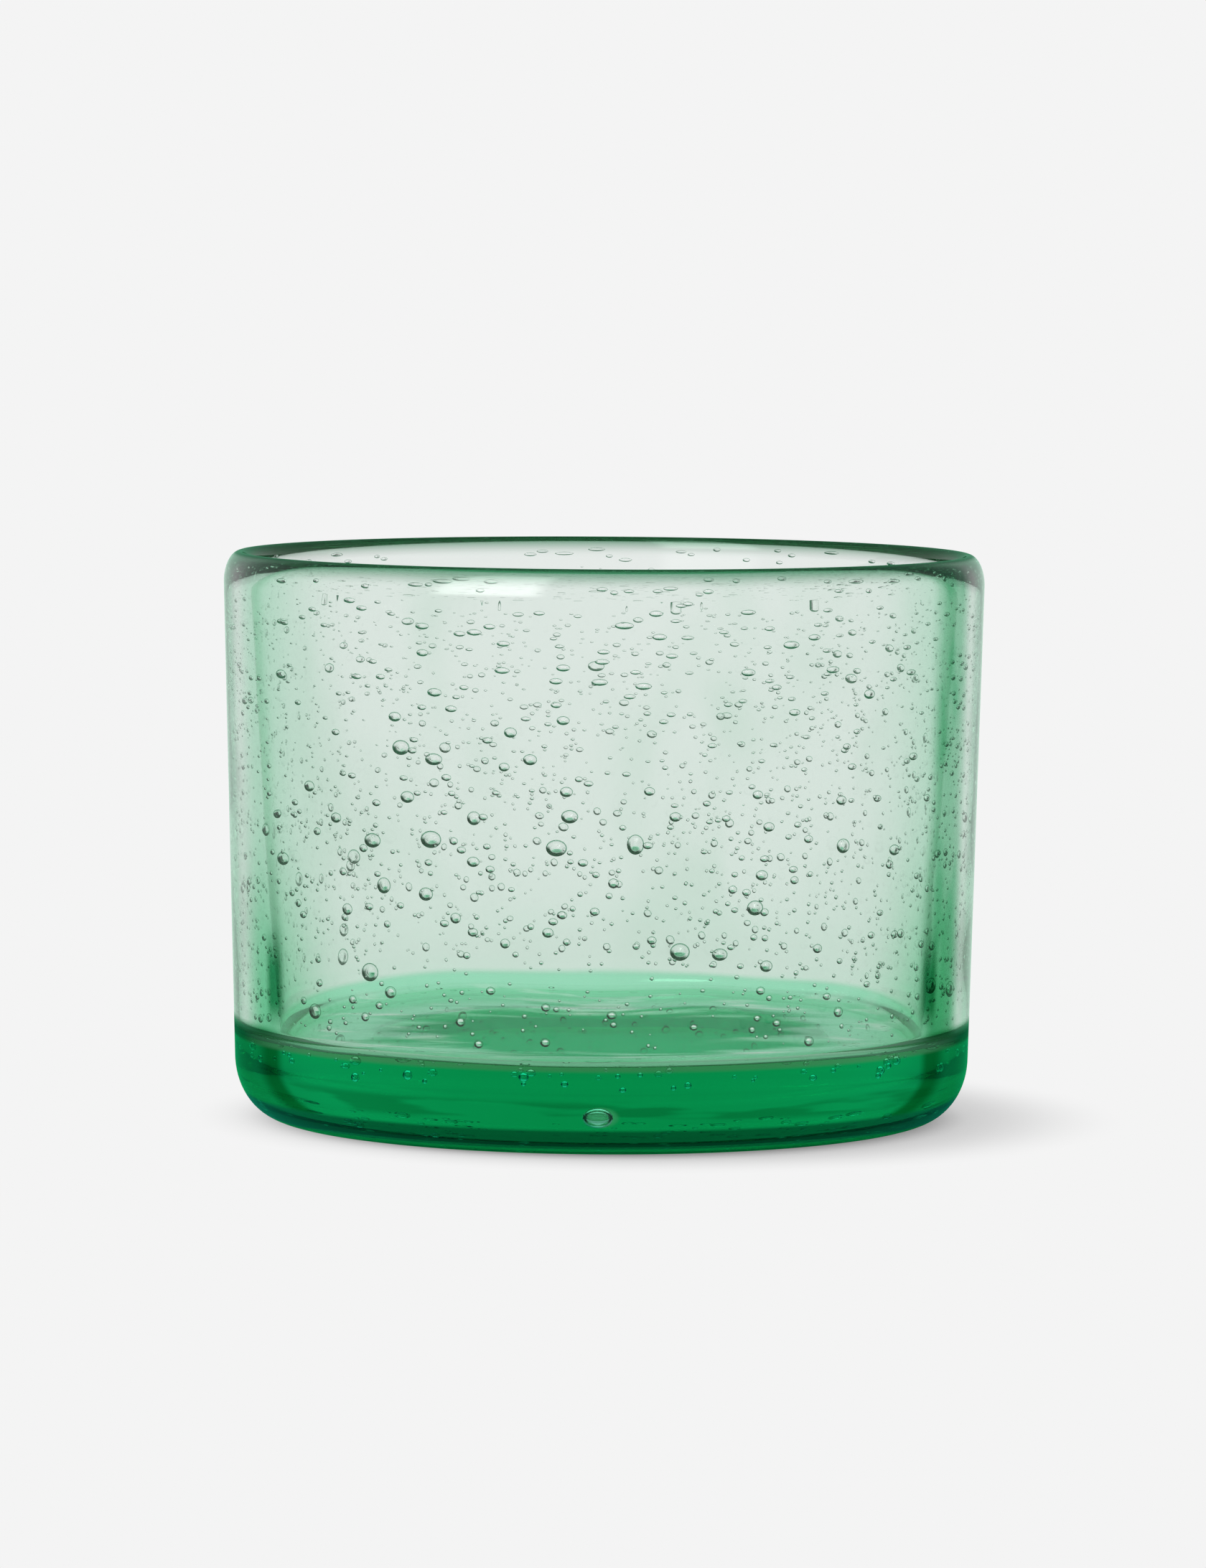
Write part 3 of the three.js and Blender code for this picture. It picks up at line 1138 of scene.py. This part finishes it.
@dataclass
class Studio:
    """White table and backdrop, soft light from all round and above, and the camera of the photograph."""

    white: str = "F4F4F4"
    brightest: str = "FFFFFF"
    through: str = "EEEEEE"
    around: str = "E6E6E6"
    overhead_rise: Limits = (0.25, 0.6)
    front_depth: Limits = (0.2, -0.7)
    backdrop_depth: Limits = (0.68, 0.85)
    softbox_turn: float = -36.0
    softbox_half_width: float = 20.0
    softbox_low: float = 2.0
    softbox_high: float = 70.0
    softbox_full_share: float = 0.6
    softbox_end_blur: float = 0.15
    softbox_ahead: Limits = (0.0, 0.02)
    softbox_strength: float = 7.0
    floor_corners: int = 96
    floor_near: float = 75.0
    floor_far: float = 112.0
    shadow_near: float = 34.0
    shadow_far: float = 50.0
    shadow_drift: float = 6.0
    floor_glow: float = 0.3
    floor_glow_through_glass: float = 0.6
    camera_distance: float = 800.0
    camera_height: float = 95.7
    camera_tilt: float = 4.33
    camera_roll: float = 0.35
    camera_clip: tuple[float, float] = (0.01, 100.0)
    sensor_width: float = 36.0
    focal_pixels: float = 10596.0
    photo_height_pixels: float = 2185.0
    bounces: int = 24
    glossy_bounces: int = 12
    diffuse_bounces: int = 4
    straight_bounces: int = 32

    def softbox(self, tree: Tree, toward: Socket, rise: Socket) -> Socket:
        """Where the softbox is, in front of the glass and to its left.

        Args:
            tree: The world's node tree.
            toward: Direction of a ray into the studio.
            rise: Its upward part.

        Returns:
            The socket of a share that is 1 inside the softbox.
        """
        turned = {"Vector": toward, "Angle": math.radians(90 - self.softbox_turn)}
        aimed = add_node(tree, "ShaderNodeVectorRotate", turned, rotation_type="Z_AXIS").outputs[0]
        ahead, across, _ = add_node(tree, "ShaderNodeSeparateXYZ", {"Vector": aimed}).outputs
        slant = add_node(tree, "ShaderNodeMath", {0: across, 1: ahead}, operation="DIVIDE").outputs[0]
        aside = add_node(tree, "ShaderNodeMath", {0: slant}, operation="ABSOLUTE").outputs[0]
        half, blur = math.tan(math.radians(self.softbox_half_width)), self.softbox_end_blur
        low, high = math.sin(math.radians(self.softbox_low)), math.sin(math.radians(self.softbox_high))
        return share(tree, (aside, (half, half * self.softbox_full_share)), (ahead, self.softbox_ahead),
                     (rise, (low, low + blur, high - blur, high)))

    def world(self) -> None:
        """Soft white light from all round, a pale backdrop, and a softbox that only gloss shows."""
        world = bpy.data.worlds.new("studio")
        bpy.context.scene.world = world
        world.use_nodes = True
        tree = world.node_tree
        tree.nodes.clear()
        toward = add_node(tree, "ShaderNodeTexCoord").outputs["Generated"]
        parts = add_node(tree, "ShaderNodeSeparateXYZ", {"Vector": toward}).outputs
        above = share(tree, (parts["Z"], self.overhead_rise))
        in_front = share(tree, (parts["Y"], self.front_depth))
        backdrop = share(tree, (parts["Y"], self.backdrop_depth))
        softbox = self.softbox(tree, toward, parts["Z"])
        lamp = (self.softbox_strength, self.softbox_strength, self.softbox_strength, 1.0)
        mirrored = lay(tree, self.around, (in_front, self.brightest), (backdrop, self.white),
                       (above, self.brightest), (softbox, lamp))
        through = lay(tree, self.through, (above, self.brightest))
        ray = add_node(tree, "ShaderNodeLightPath").outputs
        off_floor = {0: ray["Diffuse Depth"], 1: 0.5}
        off_floor = add_node(tree, "ShaderNodeMath", off_floor, operation="GREATER_THAN").outputs[0]
        seen = lay(tree, self.brightest, (ray["Is Glossy Ray"], mirrored),
                   (ray["Is Transmission Ray"], through), (off_floor, self.brightest),
                   (ray["Is Camera Ray"], self.white))
        light = add_node(tree, "ShaderNodeBackground", {"Color": seen, "Strength": 1.0})
        output = add_node(tree, "ShaderNodeOutputWorld")
        tree.links.new(light.outputs[0], output.inputs["Surface"])

    def table_top(self) -> bpy.types.Material:
        """Matt white board that fades into the backdrop, and glows a little so that its shadow stays soft.

        Returns:
            The material.
        """
        material, tree, output = new_material("white_table_top")
        place = place_in_mm(tree)
        away = add_node(tree, "ShaderNodeVectorMath", {0: place}, operation="LENGTH").outputs["Value"]
        fade = share(tree, (away, (self.floor_near, self.floor_far)))
        drift = {0: place, 1: (self.shadow_drift, 0.0, 0.0)}
        spread = add_node(tree, "ShaderNodeVectorMath", drift, operation="DISTANCE").outputs["Value"]
        even = share(tree, (spread, (self.shadow_near, self.shadow_far)))
        glows = []
        for least in (self.floor_glow, self.floor_glow_through_glass):
            glow = add_node(tree, "ShaderNodeMix", {"Factor": even, "A": least, "B": 1.0}, data_type="FLOAT")
            glows.append(glow.outputs[0])
        through = add_node(tree, "ShaderNodeLightPath").outputs["Is Transmission Ray"]
        glow = {"Factor": through, "A": glows[0], "B": glows[1]}
        glow = add_node(tree, "ShaderNodeMix", glow, data_type="FLOAT").outputs[0]
        matt = add_node(tree, "ShaderNodeBsdfDiffuse", {"Color": linear(self.white)})
        glowing = add_node(tree, "ShaderNodeEmission", {"Color": linear(self.white), "Strength": 1.0})
        lit = add_node(tree, "ShaderNodeMixShader", {0: glow, 1: matt.outputs[0], 2: glowing.outputs[0]})
        clear = add_node(tree, "ShaderNodeBsdfTransparent")
        top = add_node(tree, "ShaderNodeMixShader", {0: fade, 1: lit.outputs[0], 2: clear.outputs[0]})
        tree.links.new(top.outputs[0], output.inputs["Surface"])
        return material

    def floor(self) -> bpy.types.Object:
        """The table top under the glass.

        Returns:
            The floor.
        """
        start_clean()
        radius = self.floor_far * MM
        bpy.ops.mesh.primitive_circle_add(vertices=self.floor_corners, radius=radius, fill_type="NGON")
        floor = bpy.context.object
        floor.name = "floor"
        floor.data.materials.append(self.table_top())
        return floor

    def camera(self) -> None:
        """Sets the camera at the photograph's place, angle and framing."""
        data = bpy.data.cameras.new("photo_camera")
        camera = bpy.data.objects.new("photo_camera", data)
        bpy.context.scene.collection.objects.link(camera)
        data.sensor_width = self.sensor_width
        data.lens = self.focal_pixels / self.photo_height_pixels * data.sensor_width
        data.clip_start, data.clip_end = self.camera_clip
        tilt = Matrix.Rotation(math.radians(90 - self.camera_tilt), 4, "X")
        roll = Matrix.Rotation(math.radians(self.camera_roll), 4, "Z")
        place = Matrix.Translation((0, -self.camera_distance * MM, self.camera_height * MM))
        camera.matrix_world = place @ tilt @ roll
        bpy.context.scene.camera = camera

    def settings(self) -> None:
        """Plain view transform, and enough bounces for light to cross the walls and the bubbles."""
        scene = bpy.context.scene
        scene.view_settings.view_transform = "Standard"
        scene.cycles.max_bounces = self.bounces
        scene.cycles.transmission_bounces = self.bounces
        scene.cycles.glossy_bounces = self.glossy_bounces
        scene.cycles.diffuse_bounces = self.diffuse_bounces
        scene.cycles.transparent_max_bounces = self.straight_bounces
        scene.cycles.caustics_refractive = False
        scene.cycles.caustics_reflective = False

    def build(self) -> None:
        """Builds the whole studio."""
        self.world()
        self.floor()
        self.camera()
        self.settings()


def main() -> None:
    """Builds the glass, its bubbles and the studio in order."""
    logging.basicConfig(level=logging.INFO, format="%(message)s")
    glass = GlassBody()
    taken = BubbleField()
    glass.build(GreenBlownGlass().material())
    large_air = TrappedAir("air_in_blisters").material()
    fine_air = TrappedAir("air_in_seeds", outline="003C22", outline_by_rim="14684A",
                          outline_seen=(0.12, 0.28), lit_side_seen=(0.35, 0.75)).material()
    WallBubbles(glass, taken).build(large_air, fine_air)
    BaseBubbles(glass, taken).build(TrappedAir("air_in_base", straight_share=0.0).material())
    Studio().build()


if __name__ == "__main__":
    main()
